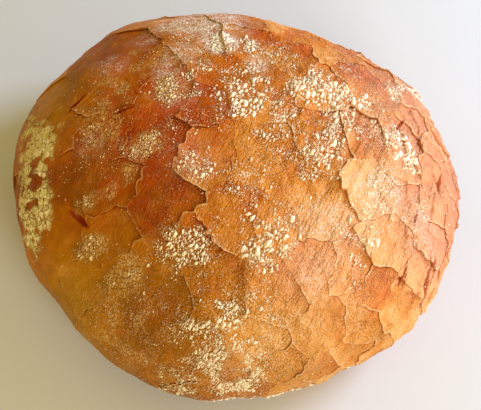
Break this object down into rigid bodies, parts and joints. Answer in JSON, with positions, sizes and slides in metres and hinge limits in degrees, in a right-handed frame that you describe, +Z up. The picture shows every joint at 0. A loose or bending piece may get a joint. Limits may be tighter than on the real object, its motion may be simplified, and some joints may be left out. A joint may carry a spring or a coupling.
{
  "type": "pugliese bread loaf",
  "caption": "Whole round hearth-baked pugliese loaf with a low dome, a flat foot and a crackled crust of overlapping plates dusted with flour.",
  "frame": {"origin": "middle of the loaf's box in plan, on the surface that the flat foot stands on", "axes": "+Z up out of the crown, +X along the loaf's longer side, +Y across it"},
  "size_m": [0.2528, 0.2364, 0.1045],
  "materials": {
    "crust": "dry baked crust, semi-matt, with flour left on it",
    "flour": "dry crackled flour baked onto the crust, fully matt"
  },
  "bodies": {
    "root": {"loaf": "crust"}
  },
  "joints": []
}
